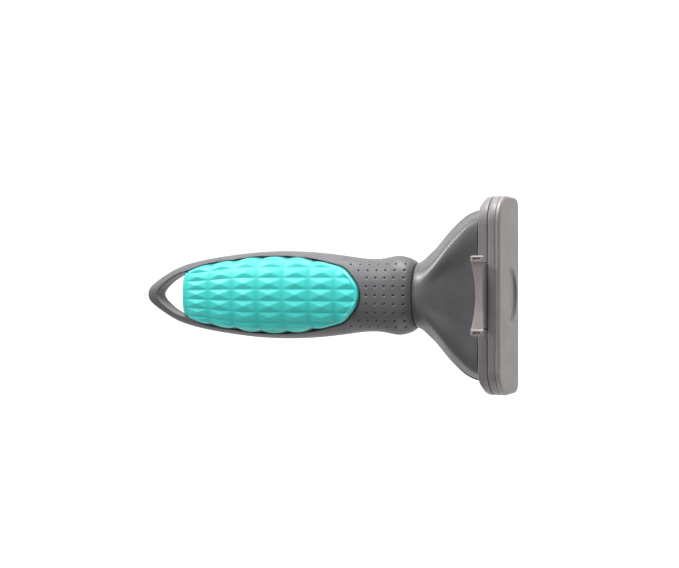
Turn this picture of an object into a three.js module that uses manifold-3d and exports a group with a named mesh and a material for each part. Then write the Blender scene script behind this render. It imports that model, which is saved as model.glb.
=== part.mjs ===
// Deshedding tool: a comb head with a sliding hair ejector, on a soft-grip handle.
// Millimetres, +Z up. The tool lies on a table with its thumb button on top: the handle runs
// towards -X, the head is at +X, and Z = 0 is the table.
import * as THREE from 'three';
import { mergeVertices } from 'three/addons/utils/BufferGeometryUtils.js';
import Module from 'manifold-3d';

const wasm = await Module();
wasm.setup();

// ---------------------------------------------------------------- driving dimensions

const clearance = 0.3;            // gap between pieces that meet
const roundSides = 14;            // sides of a small round piece

// Handle stations from the tail to the collar: [x, half width, centre height, half height]
const handleStations = [
  [-80, 1.2, 9.6, 1.6],
  [-79.2, 3.3, 9.6, 2.6],
  [-77, 5.2, 9.6, 3.3],
  [-71.9, 8.1, 9.8, 3.8],
  [-65.8, 11.0, 10.2, 4.5],
  [-59.7, 12.9, 10.7, 5.8],
  [-50.6, 14.7, 11.3, 7.8],
  [-40.5, 16.1, 11.8, 9.6],
  [-28.4, 17.3, 12.2, 11.2],
  [-14.2, 17.8, 12.8, 11.7],
  [0, 17.2, 13.6, 11.4],
  [14.0, 15.6, 14.9, 10.6],
  [27.2, 14.2, 16.3, 9.7],
  [32.3, 14.6, 16.7, 9.9],
  [37.3, 15.3, 16.9, 10.2],
  [41.3, 14.5, 16.9, 9.8],
  [43.6, 13.2, 16.8, 8.9],
  [44.4, 12.4, 16.7, 8.2],
];
const handleSquareness = 2.3;     // 2 is an ellipse, more is squarer
const handleSides = 28;

// Half outline of the opening through the handle, from the hanging hole's tip to the collar
const windowHalf = [
  [-74, 0], [-73.5, 1.3], [-70.7, 4.1], [-67.7, 6.2], [-65.3, 7.5], [-61, 9.0], [-57.8, 9.8],
  [-50.6, 12.1], [-41.4, 13.6], [-32.6, 14.6], [-25.6, 15.3], [-16, 15.6], [-8, 15.4], [4.4, 13.8],
  [11.7, 12.1], [16.3, 10.6], [20.4, 7.2], [23.1, 3.6], [24, 0],
];
const gripEndX = -59.8;           // the grip ends here, and the hanging hole is what is left
const gripProud = 1.0;            // the grip stands this much higher than the frame
const coreHalfHeight = 4;

// Neck stations from the collar to the head, as for the handle, and each section's squareness
const neckStations = [
  [44.7, 12.4, 16.7, 7.9, 2.3],
  [46.8, 13.5, 16.7, 8.3, 2.3],
  [49.2, 15.5, 16.7, 8.6, 2.4],
  [51.5, 17.5, 16.6, 8.7, 2.5],
  [53.9, 20.2, 16.4, 8.7, 2.6],
  [56.2, 23.0, 16.2, 8.6, 2.7],
  [58.6, 25.7, 16.0, 8.4, 2.8],
  [60.9, 27.9, 15.8, 8.2, 3.0],
  [63.2, 29.6, 15.6, 8.0, 3.2],
  [66.0, 31.2, 15.3, 7.8, 3.4],
  [72.0, 32.6, 15.1, 7.8, 3.6],
];
const neckSides = 28;
const neckWall = 1.8;
const neckSplit = 16;             // height of the seam between the two shells
const neckScrewX = [51.5, 58.5];

const tang = { x0: 27.5, x1: 63, halfWidth: 6, z0: 14, z1: 19 };

// The head leans forward. Its own axes: X through its thickness from the back, Y along its
// width, Z up from its top edge, so that every height in it is negative.
const headLean = THREE.MathUtils.degToRad(4);
const headTop = new THREE.Vector3(69.96, 0, 23.1);
const headHalfWidth = 37.5;
const headCorner = 10.5;          // radius of the two top corners
const housingBottom = -16;
const wall = 1.3;
const backFace = 3.6;             // the back housing fills 0 to this
const frontFace = [3.8, 6.8];     // the front housing
const frontInner = 5.5;           // inside of the front housing's wall
const guardWall = [7.1, 8.4];     // the guard's front wall
const guardFloor = -21.9;
const guardCorner = 4;
const toothTip = -20.4;
const toothPitch = 1.5;
const toothCount = 44;

const housingScrews = [[-31.5, -4.5], [31.5, -4.5], [-31.5, -11], [31.5, -11]];
const rivetY = [-14, 0, 14];
const rivetZ = -12.1;
const springY = 20;
const springX = 2.4;
const springTop = -3.65;
const springFoot = -11.35;
const springCoils = 6;

// ---------------------------------------------------------------- solids

// A closed three.js geometry as a solid that can be joined and cut
function solid(geometry) {
  const bare = geometry.index ? geometry.toNonIndexed() : geometry.clone();
  bare.deleteAttribute('normal');
  bare.deleteAttribute('uv');
  const merged = mergeVertices(bare, 1e-4);
  return new wasm.Manifold(new wasm.Mesh({
    numProp: 3,
    vertProperties: new Float32Array(merged.attributes.position.array),
    triVerts: new Uint32Array(merged.index.array),
  }));
}

// A solid back as a geometry
function surface(body) {
  const mesh = body.getMesh();
  const geometry = new THREE.BufferGeometry();
  geometry.setAttribute('position', new THREE.BufferAttribute(mesh.vertProperties, 3));
  geometry.setIndex(new THREE.BufferAttribute(mesh.triVerts, 1));
  geometry.computeVertexNormals();
  return geometry;
}

function block([x0, x1], [y0, y1], [z0, z1]) {
  const geometry = new THREE.BoxGeometry(x1 - x0, y1 - y0, z1 - z0);
  geometry.translate((x0 + x1) / 2, (y0 + y1) / 2, (z0 + z1) / 2);
  return solid(geometry);
}

// A round bar along X
function barX(radius, [x0, x1], y, z, sides = roundSides) {
  const geometry = new THREE.CylinderGeometry(radius, radius, x1 - x0, sides);
  geometry.rotateZ(-Math.PI / 2);
  geometry.translate((x0 + x1) / 2, y, z);
  return solid(geometry);
}

// A round bar along Z
function barZ(radius, [z0, z1], x, y, sides = roundSides) {
  const geometry = new THREE.CylinderGeometry(radius, radius, z1 - z0, sides);
  geometry.rotateX(Math.PI / 2);
  geometry.translate(x, y, (z0 + z1) / 2);
  return solid(geometry);
}

function shapeOf(points) {
  return new THREE.Shape(points.map(([x, y]) => new THREE.Vector2(x, y)));
}

// An outline in the YZ plane, carried along X
function extrudeX(shape, [x0, x1], curveSegments = 8) {
  const options = { depth: x1 - x0, bevelEnabled: false, curveSegments };
  const geometry = new THREE.ExtrudeGeometry(shape, options);
  const turn = new THREE.Matrix4().makeBasis(
    new THREE.Vector3(0, 1, 0),
    new THREE.Vector3(0, 0, 1),
    new THREE.Vector3(1, 0, 0),
  );
  geometry.applyMatrix4(turn);
  geometry.translate(x0, 0, 0);
  return solid(geometry);
}

// An outline in the XY plane, carried along Z
function extrudeZ(shape, [z0, z1]) {
  const geometry = new THREE.ExtrudeGeometry(shape, { depth: z1 - z0, bevelEnabled: false });
  geometry.translate(0, 0, z0);
  return solid(geometry);
}

// Superelliptic rings at each station, joined in order and closed with a fan at both ends
function loft(stations, sides, grow = 0, squareness = handleSquareness) {
  const points = [];
  const faces = [];
  for (const [x, halfWidth, height, halfHeight, ownSquareness = squareness] of stations) {
    const power = 2 / ownSquareness;
    for (let i = 0; i < sides; i += 1) {
      const angle = (2 * Math.PI * i) / sides;
      const c = Math.cos(angle);
      const s = Math.sin(angle);
      const y = (halfWidth + grow) * Math.sign(c) * Math.abs(c) ** power;
      const z = (halfHeight + grow) * Math.sign(s) * Math.abs(s) ** power;
      points.push(x, y, height + z);
    }
  }
  const last = (stations.length - 1) * sides;
  for (let ring = 0; ring < last; ring += sides) {
    for (let i = 0; i < sides; i += 1) {
      const j = (i + 1) % sides;
      faces.push(ring + i, ring + j, ring + sides + j, ring + i, ring + sides + j, ring + sides + i);
    }
  }
  for (let i = 1; i < sides - 1; i += 1) {
    faces.push(0, i + 1, i, last, last + i, last + i + 1);
  }
  const geometry = new THREE.BufferGeometry();
  geometry.setAttribute('position', new THREE.BufferAttribute(new Float32Array(points), 3));
  geometry.setIndex(faces);
  return solid(geometry);
}

// A band that follows the handle's centre line, from low to high beside it
function centreBand(low, high) {
  const width = 40;
  const outline = [];
  for (const [x, , height] of handleStations) outline.push([x, height + high]);
  for (const [x, , height] of [...handleStations].reverse()) outline.push([x, height + low]);
  const geometry = new THREE.ExtrudeGeometry(shapeOf(outline), { depth: width, bevelEnabled: false });
  geometry.rotateX(Math.PI / 2);
  geometry.translate(0, width / 2, 0);
  return solid(geometry);
}

// The handle's opening as an outline, drawn in by inset on every side
function windowShape(inset) {
  const half = windowHalf.map(([x, y], i) => {
    const before = windowHalf[i - 1] ?? [x, -windowHalf[1][1]];
    const after = windowHalf[i + 1] ?? [x, -windowHalf[i - 1][1]];
    const along = new THREE.Vector2(after[0] - before[0], after[1] - before[1]).normalize();
    return [x + along.y * inset, y - along.x * inset];
  });
  const otherHalf = half.slice(1, -1).reverse().map(([x, y]) => [x, -y]);
  return shapeOf([...half, ...otherHalf]);
}

// The head's face: square below, with two round corners above, drawn in by inset
function headFace(bottom, inset, bottomCorner = 0) {
  const y = headHalfWidth - inset;
  const top = -inset;
  const r = headCorner - inset;
  const face = new THREE.Shape();
  face.moveTo(y, bottom + bottomCorner);
  face.lineTo(y, top - r);
  face.absarc(y - r, top - r, r, 0, Math.PI / 2, false);
  face.lineTo(-y + r, top);
  face.absarc(-y + r, top - r, r, Math.PI / 2, Math.PI, false);
  face.lineTo(-y, bottom + bottomCorner);
  if (bottomCorner) {
    const low = bottom + bottomCorner;
    face.absarc(-y + bottomCorner, low, bottomCorner, Math.PI, 1.5 * Math.PI, false);
    face.absarc(y - bottomCorner, low, bottomCorner, 1.5 * Math.PI, 2 * Math.PI, false);
  } else {
    face.lineTo(y, bottom);
  }
  return face;
}

const headMatrix = new THREE.Matrix4().makeRotationY(-headLean).setPosition(headTop);

// A solid given in the head's own axes, moved to the tool's axes
function inTool(body) {
  return body.transform(headMatrix.elements);
}

// A solid given in the tool's axes, moved to the head's own axes
function inHead(body) {
  return body.transform(headMatrix.clone().invert().elements);
}

// ---------------------------------------------------------------- the assembly

const tool = new THREE.Group();
const head = new THREE.Group();
head.position.copy(headTop);
head.rotation.y = -headLean;
tool.add(head);

const finishes = {
  greySoft: { color: 0x76757a, roughness: 0.62, metalness: 0 },
  greyShell: { color: 0x66676b, roughness: 0.5, metalness: 0 },
  greyHousing: { color: 0x737175, roughness: 0.48, metalness: 0 },
  greyInner: { color: 0x4a4b4e, roughness: 0.6, metalness: 0 },
  teal: { color: 0x4fd3cb, roughness: 0.5, metalness: 0 },
  beige: { color: 0x9b9493, roughness: 0.45, metalness: 0 },
  steel: { color: 0xb9bbbe, roughness: 0.28, metalness: 1 },
  wire: { color: 0xa4a6a8, roughness: 0.35, metalness: 1 },
};

function add(parent, name, body, finish) {
  const geometry = body.isBufferGeometry ? body : surface(body);
  const mesh = new THREE.Mesh(geometry, new THREE.MeshStandardMaterial(finishes[finish]));
  mesh.name = name;
  parent.add(mesh);
}

// ---------------------------------------------------------------- handle

function buildHandle() {
  const full = [-10, 40];
  const opening = extrudeZ(windowShape(0), full);
  const socket = block(
    [tang.x0 - clearance, 50],
    [-tang.halfWidth - clearance, tang.halfWidth + clearance],
    [tang.z0 - clearance, tang.z1 + clearance],
  );
  const frame = loft(handleStations, handleSides).subtract(opening).subtract(socket);
  add(tool, 'handle_frame', frame, 'greySoft');

  const gripSide = block([gripEndX, 60], [-40, 40], full);
  const filling = extrudeZ(windowShape(clearance), full).intersect(gripSide);
  const core = centreBand(-coreHalfHeight, coreHalfHeight).intersect(filling);
  add(tool, 'handle_core', core, 'greyInner');

  const grip = loft(handleStations, handleSides, gripProud).intersect(filling);
  const above = centreBand(coreHalfHeight + clearance, 30);
  const below = centreBand(-30, -coreHalfHeight - clearance);
  add(tool, 'grip_pad_top', grip.intersect(above), 'teal');
  add(tool, 'grip_pad_bottom', grip.intersect(below), 'teal');
}

// ---------------------------------------------------------------- neck

function buildNeck() {
  const headSpace = inTool(block([-clearance, 40], [-60, 60], [-60, 40]));
  const outside = loft(neckStations, neckSides);
  const first = neckStations[0];
  const last = neckStations.at(-1);
  const longer = [
    [first[0] - 2, ...first.slice(1)],
    ...neckStations.slice(1, -1),
    [last[0] + 2, ...last.slice(1)],
  ];
  const hollow = loft(longer, neckSides, -neckWall);
  const shell = outside.subtract(hollow).subtract(headSpace);
  const upper = block([0, 90], [-60, 60], [neckSplit + clearance / 2, 60]);
  const lower = block([0, 90], [-60, 60], [-60, neckSplit - clearance / 2]);
  const bossRadius = 3.4;
  const shankRadius = 1.2;
  const screwHead = { radius: 2.4, z0: 8.9, z1: 10 };

  let upperShell = shell.intersect(upper);
  let lowerShell = shell.intersect(lower);
  for (const x of neckScrewX) {
    const upperBoss = barZ(bossRadius, [tang.z1 + clearance, 24], x, 0);
    const lowerBoss = barZ(bossRadius, [8, tang.z0 - clearance], x, 0);
    upperShell = upperShell.add(upperBoss.intersect(outside));
    upperShell = upperShell.subtract(barZ(shankRadius + clearance, [0, 22.5], x, 0));
    lowerShell = lowerShell.add(lowerBoss.intersect(outside));
    lowerShell = lowerShell.subtract(barZ(shankRadius + clearance, [0, 30], x, 0));
    const recess = barZ(screwHead.radius + clearance, [0, screwHead.z1 + clearance], x, 0);
    lowerShell = lowerShell.subtract(recess);
  }
  add(tool, 'neck_upper_shell', upperShell, 'greyShell');
  add(tool, 'neck_lower_shell', lowerShell, 'greyShell');

  let bar = block([tang.x0, tang.x1], [-tang.halfWidth, tang.halfWidth], [tang.z0, tang.z1]);
  neckScrewX.forEach((x, i) => {
    bar = bar.subtract(barZ(shankRadius + clearance, [0, 30], x, 0));
    const shank = barZ(shankRadius, [screwHead.z1 - 0.1, 22.2], x, 0);
    const screw = barZ(screwHead.radius, [screwHead.z0, screwHead.z1], x, 0).add(shank);
    add(tool, `neck_screw_${i + 1}`, screw, 'steel');
  });
  add(tool, 'neck_tang', bar, 'steel');
}

// ---------------------------------------------------------------- head housings

function buildHousings() {
  const below = housingBottom - 5;
  const stemSlot = block([1.6, 4], [-12.4, 12.4], [-wall - 0.1, 1]);
  const backHollow = extrudeX(headFace(below, wall), [wall - 0.1, 4]);
  let back = extrudeX(headFace(housingBottom, 0), [0, backFace]);
  back = back.subtract(backHollow).subtract(stemSlot);
  const frontHollow = extrudeX(headFace(below, wall), [3, frontInner]);
  let front = extrudeX(headFace(housingBottom, 0), frontFace).subtract(frontHollow);

  housingScrews.forEach(([y, z], i) => {
    const shankRadius = 0.8;
    const headRadius = 1.8;
    const headX = [5.9, 6.6];
    back = back.add(barX(2.4, [1, backFace], y, z));
    back = back.subtract(barX(shankRadius + clearance, [1.5, 4], y, z));
    front = front.add(barX(2.6, [frontFace[0], 6], y, z));
    front = front.subtract(barX(shankRadius + clearance, [3, 8], y, z));
    front = front.subtract(barX(headRadius + clearance, [headX[0] - clearance, 8], y, z));
    const shank = barX(shankRadius, [1.8, headX[0] + 0.1], y, z);
    add(head, `housing_screw_${i + 1}`, barX(headRadius, headX, y, z).add(shank), 'steel');
  });

  // A ledge on the back housing carries each spring and its guide pin
  for (const side of [-1, 1]) {
    const y = side * springY;
    back = back.add(block([1, 3.4], [y - 1.4, y + 1.4], [springFoot - 1.35, springFoot - 0.15]));
    back = back.subtract(barZ(0.7, [-14, -10], springX, y));
  }
  add(head, 'head_back_housing', back, 'greyHousing');
  add(head, 'head_front_housing', front, 'greyHousing');
}

// ---------------------------------------------------------------- blade

function buildBlade() {
  const shoulder = -14.4;
  const root = -15.6;
  const bladeX = [4.0, 4.5];
  const clampX = [4.8, 5.2];
  const shankHalf = 27;
  const combHalf = (toothCount * toothPitch) / 2;
  const outline = [[shankHalf, shoulder], [shankHalf, -10], [-shankHalf, -10], [-shankHalf, shoulder]];
  outline.push([-combHalf, shoulder]);
  for (let i = 0; i < toothCount; i += 1) {
    const y = -combHalf + (i + 0.5) * toothPitch;
    outline.push([y - 0.55, root], [y - 0.22, toothTip], [y + 0.22, toothTip], [y + 0.55, root]);
  }
  outline.push([combHalf, shoulder]);
  let blade = extrudeX(shapeOf(outline.reverse()), bladeX);
  let clamp = block(clampX, [-26, 26], [-13.8, -10.4]);
  rivetY.forEach((y, i) => {
    blade = blade.subtract(barX(1, [3, 6], y, rivetZ));
    clamp = clamp.subtract(barX(1, [3, 6], y, rivetZ));
    const rivet = barX(0.7, [3.6, 5.2], y, rivetZ).add(barX(1.4, [3.2, 3.7], y, rivetZ));
    add(head, `blade_rivet_${i + 1}`, rivet, 'steel');
  });
  add(head, 'blade', blade, 'steel');
  add(head, 'blade_clamp_bar', clamp, 'steel');
}

// ---------------------------------------------------------------- ejector

// A helix about the Z axis through (x, y)
class Coil extends THREE.Curve {
  constructor(x, y, z0, z1, radius) {
    super();
    Object.assign(this, { x, y, z0, z1, radius });
  }

  getPoint(t, target = new THREE.Vector3()) {
    const angle = 2 * Math.PI * springCoils * t;
    return target.set(
      this.x + this.radius * Math.cos(angle),
      this.y + this.radius * Math.sin(angle),
      this.z0 + (this.z1 - this.z0) * t,
    );
  }
}

function buildEjector() {
  const plateX = [1.5, 2.2];
  const tabX = [2.5, 3.3];
  const window = { half: 2.4, z0: -13.5, z1: -3.5 };
  let plate = block(plateX, [-28, 28], [-14.5, -1.7]);
  plate = plate.add(block(plateX, [-33.5, 33.5], [-15.9, -13.9]));
  for (const side of [-1, 1]) {
    const y = side * springY;
    plate = plate.subtract(block([1, 3], [y - window.half, y + window.half], [window.z0, window.z1]));
  }

  // The button: a bar with a dished top and a waist, on a flat stem
  const barHalf = 14.75;
  const dished = new THREE.Shape();
  dished.moveTo(-barHalf, 4.5);
  dished.lineTo(barHalf, 4.5);
  dished.lineTo(barHalf, 6.6);
  dished.lineTo(barHalf - 2.2, 6.6);
  dished.quadraticCurveTo(0, 5.0, -barHalf + 2.2, 6.6);
  dished.lineTo(-barHalf, 6.6);
  const waisted = new THREE.Shape();
  waisted.moveTo(-0.6, -barHalf);
  waisted.lineTo(4.4, -barHalf);
  waisted.lineTo(4.4, -barHalf + 2.2);
  waisted.quadraticCurveTo(3.0, 0, 4.4, barHalf - 2.2);
  waisted.lineTo(4.4, barHalf);
  waisted.lineTo(-0.6, barHalf);
  waisted.lineTo(-0.6, barHalf - 2.2);
  waisted.quadraticCurveTo(2.0, 0, -0.6, -barHalf + 2.2);
  let button = extrudeX(dished, [-1, 5]).intersect(extrudeZ(waisted, [4, 7]));
  button = button.add(block([1.9, 3.3], [-12, 12], [-1.4, 5]));
  button = button.add(block(tabX, [-12, 12], [-6, -1.3]));

  [-8, 8].forEach((y, i) => {
    const z = -4;
    plate = plate.subtract(barX(1, [1, 4], y, z));
    button = button.subtract(barX(1, [2.3, 4], y, z));
    const screw = barX(0.7, [1.6, 3.7], y, z).add(barX(1.4, [3.6, 4.2], y, z));
    add(head, `button_screw_${i + 1}`, screw, 'steel');
  });
  add(head, 'ejector_plate', plate, 'steel');
  add(head, 'ejector_button', button, 'beige');

  const wireRadius = 0.15;
  const wire = new THREE.Shape();
  wire.absarc(0, 0, wireRadius, 0, 2 * Math.PI, false);
  for (const [side, label] of [[-1, 'left'], [1, 'right']]) {
    const y = side * springY;
    const path = new Coil(springX, y, springFoot + wireRadius, springTop - wireRadius, 0.8);
    const options = { steps: springCoils * 10, curveSegments: 3, extrudePath: path };
    const coil = solid(new THREE.ExtrudeGeometry(wire, options));
    add(head, `return_spring_${label}`, coil, 'wire');
    add(head, `spring_pin_${label}`, barZ(0.4, [-12.6, -7.9], springX, y, 10), 'steel');
  }
}

// ---------------------------------------------------------------- guard

function buildGuard() {
  const outline = extrudeX(headFace(-24, 0, guardCorner), [0, guardWall[1]]);
  const lowTop = housingBottom - clearance - 0.05;
  const housingSpace = block([-1, guardWall[0]], [-60, 60], [lowTop, 1]);
  const bladeSpace = block([1.4, guardWall[0]], [-36, 36], [guardFloor, 1]);
  const table = inHead(block([0, 120], [-60, 60], [-20, 0]));
  const guard = outline.subtract(housingSpace).subtract(bladeSpace).subtract(table);
  add(head, 'blade_guard', guard, 'beige');
}

buildHandle();
buildNeck();
buildHousings();
buildBlade();
buildEjector();
buildGuard();

export default tool;
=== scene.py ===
import math

import bmesh
import bpy
import numpy as np
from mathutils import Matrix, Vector


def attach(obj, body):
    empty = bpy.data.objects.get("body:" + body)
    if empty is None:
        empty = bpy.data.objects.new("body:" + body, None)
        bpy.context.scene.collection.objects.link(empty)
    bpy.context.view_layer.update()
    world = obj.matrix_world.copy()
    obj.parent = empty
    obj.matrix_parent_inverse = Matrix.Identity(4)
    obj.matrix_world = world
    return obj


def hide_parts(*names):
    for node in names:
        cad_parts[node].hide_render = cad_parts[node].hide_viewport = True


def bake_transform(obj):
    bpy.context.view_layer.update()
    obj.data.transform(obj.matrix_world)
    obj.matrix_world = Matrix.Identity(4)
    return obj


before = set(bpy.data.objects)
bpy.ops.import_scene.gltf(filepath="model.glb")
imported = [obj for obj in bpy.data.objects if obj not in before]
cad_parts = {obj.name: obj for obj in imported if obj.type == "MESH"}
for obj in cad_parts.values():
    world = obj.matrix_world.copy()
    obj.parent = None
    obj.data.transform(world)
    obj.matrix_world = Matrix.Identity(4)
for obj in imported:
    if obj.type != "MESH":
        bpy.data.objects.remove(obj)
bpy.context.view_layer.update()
scene = bpy.context.scene
scene.view_settings.view_transform = "Standard"
mm = 0.001                                   # shapes are worked out in millimetres
weldDistance = 0.003                         # points closer than this become one
faceInset = 0.4                              # from a flat face's border to its first inner ring
print("frame loaded:", len(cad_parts), "nodes")


def smoothStep(value):                       # 3v^2 - 2v^3, held at 0 and 1 outside
    v = np.clip(value, 0, 1)
    return v * v * (3 - 2 * v)


def clustered(start, end, count):            # even steps of a half turn, so the ends are finest
    return start + (end - start) * (1 - np.cos(np.pi * np.linspace(0, 1, count))) / 2


def splineThrough(knots, values, at):
    # natural cubic spline: solve for the second derivatives, then take each span's cubic
    x, y = np.asarray(knots, float), np.asarray(values, float)
    h = np.diff(x)
    inner = np.arange(1, len(x) - 1)
    system = np.eye(len(x))
    system[inner, inner - 1] = h[:-1]
    system[inner, inner] = 2 * (h[:-1] + h[1:])
    system[inner, inner + 1] = h[1:]
    right = np.zeros(len(x))
    right[1:-1] = 6 * np.diff(np.diff(y) / h)
    bend = np.linalg.solve(system, right)
    at = np.clip(at, x[0], x[-1])
    k = np.clip(np.searchsorted(x, at) - 1, 0, len(x) - 2)
    a, b = x[k + 1] - at, at - x[k]
    curved = (bend[k] * a ** 3 + bend[k + 1] * b ** 3) / (6 * h[k])
    straight = (y[k] * a + y[k + 1] * b) / h[k] - (bend[k] * a + bend[k + 1] * b) * h[k] / 6
    return curved + straight


def smoothOutline(half, count):
    # half outline splined over its chord length, with a mirrored point past each tip
    p = np.array(half, float)
    p = np.vstack([p[1] * [1, -1], p, p[-2] * [1, -1]])
    s = np.concatenate([[0], np.cumsum(np.hypot(*np.diff(p, axis=0).T))])
    at = np.linspace(s[1], s[-2], count)
    return np.stack([splineThrough(s, p[:, 0], at), splineThrough(s, p[:, 1], at)], -1)


def halfWidthOf(outline, x):                 # half width of an outline at x, 0 past its tips
    return np.maximum(np.interp(x, outline[:, 0], outline[:, 1], left=0, right=0), 0)


def planDistance(outline, x, y):             # least distance from (x, y) to the outline's samples
    dx = x[..., None] - outline[:, 0]
    dy = y[..., None] - outline[:, 1]
    return np.sqrt((dx * dx + dy * dy).min(-1))


def filletDrop(distance, radius):            # how far a quarter round lies below its flat
    inside = np.clip(radius - distance, 0, radius)
    return radius - np.sqrt(radius ** 2 - inside ** 2)


def gridFaces(rows, columns, closed=False):  # a quad between each four neighbours of a grid
    last = columns if closed else columns - 1
    i, j = np.meshgrid(np.arange(rows - 1), np.arange(last), indexing="ij")
    a = i * columns + j
    b = i * columns + (j + 1) % columns
    return np.stack([a, b, b + columns, a + columns], -1).reshape(-1, 4)


def sheetOf(points, closed=False):           # rows x columns x 3 points as a part: points, faces
    rows, columns = points.shape[:2]
    return points.reshape(-1, 3), gridFaces(rows, columns, closed)


def shellBetween(outer, inner):
    # a closed skin: the outer grid, the inner grid, and a strip round their four borders
    rows, columns = outer.shape[:2]
    faces = gridFaces(rows, columns)
    index = np.arange(rows * columns).reshape(rows, columns)
    border = np.concatenate([index[0, :-1], index[:-1, -1], index[-1, :0:-1], index[:0:-1, 0]])
    after = np.roll(border, -1)
    strip = np.stack([border, after, after + rows * columns, border + rows * columns], -1)
    points = np.vstack([outer.reshape(-1, 3), inner.reshape(-1, 3)])
    return points, np.vstack([faces, faces[:, ::-1] + rows * columns, strip])


def joinParts(parts):                        # several parts as one, with their faces renumbered
    starts = np.cumsum([0] + [len(points) for points, faces in parts[:-1]])
    faces = [part[1] + start for part, start in zip(parts, starts)]
    return np.vstack([part[0] for part in parts]), np.vstack(faces)


def mirroredY(part):
    return part[0] * [1, -1, 1], part[1][:, ::-1]


def makeMesh(name, part, values=None):
    # millimetre points into a mesh, doubles merged, faces turned outwards
    points, faces = part
    mesh = bpy.data.meshes.new(name)
    mesh.from_pydata((points * mm).tolist(), [], faces.tolist())
    for label, numbers in (values or {}).items():
        mesh.attributes.new(label, "FLOAT", "POINT").data.foreach_set("value", numbers.astype(np.float32))
    skin = bmesh.new()
    skin.from_mesh(mesh)
    bmesh.ops.remove_doubles(skin, verts=skin.verts, dist=weldDistance * mm)
    bmesh.ops.recalc_face_normals(skin, faces=skin.faces)
    skin.to_mesh(mesh)
    skin.free()
    return mesh


def makeObject(name, part, values=None):
    piece = bpy.data.objects.new(name, makeMesh(name, part, values))
    scene.collection.objects.link(piece)
    return piece


def combine(piece, operation, parts):
    # an exact boolean with closed parts, applied to the piece's mesh
    tool = makeObject("tool", joinParts(parts))
    step = piece.modifiers.new("combine", "BOOLEAN")
    step.operation, step.solver, step.object = operation, "EXACT", tool
    made = bpy.data.meshes.new_from_object(piece.evaluated_get(bpy.context.evaluated_depsgraph_get()))
    piece.modifiers.clear()
    piece.data = made
    bpy.data.objects.remove(tool)
    return piece


def finishPiece(piece, body, nodes, material, sharpAngle=32):
    # smooth shading with creases, the finish, and the piece's place in the assembly
    piece.data.shade_smooth()
    piece.data.set_sharp_from_angle(angle=math.radians(sharpAngle))
    piece.data.materials.clear()
    piece.data.materials.append(material)
    if body:
        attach(piece, body)
    if nodes:
        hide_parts(*nodes)
    return piece


def platePart(outline, start, end, startRadius, endRadius, middle, steps=7):
    # a plate whose two edges have a radius of their own at each point of the outline
    base, probe = outline(0, 0), 0.5
    inward = (outline(probe, 0) - base) / probe
    turn = np.linspace(0, np.pi / 2, steps)[:, None]
    first, last = startRadius[None, :], endRadius[None, :]
    inset = [first + faceInset, first * (1 - np.sin(turn)), last * (1 - np.cos(turn)), last + faceInset]
    level = [0 * first + start, start + first * (1 - np.cos(turn))]
    level += [end - last * (1 - np.sin(turn)), 0 * last + end]
    inset, level = np.vstack(inset)[..., None], np.vstack(level)[..., None]
    rings = np.concatenate([level, base + inward * inset], -1)
    count = len(base)
    ends = [np.tile([[[spot, *middle]]], (1, count, 1)) for spot in (start, end)]
    return sheetOf(np.concatenate([ends[0], rings, ends[1]]), True)


def boxPart(low, high):                      # a plain box as a grid of four rings
    (x0, y0, z0), (x1, y1, z1) = low, high
    ring = np.array([[x0, y0], [x1, y0], [x1, y1], [x0, y1]], float)
    middle = np.tile([[(x0 + x1) / 2, (y0 + y1) / 2]], (4, 1))
    rows = [(middle, z0), (ring, z0), (ring, z1), (middle, z1)]
    return sheetOf(np.stack([np.column_stack([r, np.full(4, z)]) for r, z in rows]), True)


def filletStops(start, end, startRadius, endRadius, steps=5):
    # (inset, level) from one face to the other, round the two edges between them
    turn = np.linspace(0, np.pi / 2, steps)
    first = [(startRadius * (1 - math.sin(a)), start + startRadius * (1 - math.cos(a))) for a in turn]
    last = [(endRadius * (1 - math.cos(a)), end - endRadius * (1 - math.sin(a))) for a in turn]
    return [(startRadius + faceInset, start)] + first + last + [(endRadius + faceInset, end)]


def outlineRing(flat, level):                # flat outline points set at a level
    return np.column_stack([np.full(len(flat), level), flat])


def prism(outline, stops, centre):
    # rings of outline(inset, level) at each stop, closed with a fan at both ends
    rings = [outlineRing(outline(inset, level), level) for inset, level in stops]
    ends = [np.tile([[stops[k][1], *centre]], (len(rings[0]), 1)) for k in (0, -1)]
    return sheetOf(np.stack([ends[0], *rings, ends[1]]), True)


def rectOutline(low, high, corner):          # a rectangle with round corners, drawn in by inset
    leastRadius, nudge = 0.02, 1e-6

    def outline(inset, level):
        radius = max(corner - inset, leastRadius)
        turn = np.linspace(0, np.pi / 2, 6)
        middles = [(high[0], high[1], 0), (low[0], high[1], 1), (low[0], low[1], 2), (high[0], low[1], 3)]
        points = []
        for a, b, quarter in middles:
            ca = a - math.copysign(inset + radius, a - low[0] - nudge)
            cb = b - math.copysign(inset + radius, b - low[1] - nudge)
            angle = turn + quarter * np.pi / 2
            points.append(np.column_stack([ca + radius * np.cos(angle), cb + radius * np.sin(angle)]))
        return np.vstack(points)
    return outline


def lathe(profile, count, middle, axis):
    # (radius, level) turned about an axis through the middle: 0 for thickness, 2 for height
    angle = np.linspace(0, 2 * np.pi, count, endpoint=False)
    profile = np.array(profile, float)
    a = middle[0] + profile[:, 0, None] * np.cos(angle)
    b = middle[1] + profile[:, 0, None] * np.sin(angle)
    level = np.repeat(profile[:, 1, None], count, 1)
    order = [level, a, b] if axis == 0 else [a, b, level]
    return sheetOf(np.stack(order, -1), True)


def barPart(radius, start, end, middle, axis, count=32):
    return lathe([(0, start), (radius, start), (radius, end), (0, end)], count, middle, axis)


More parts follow.
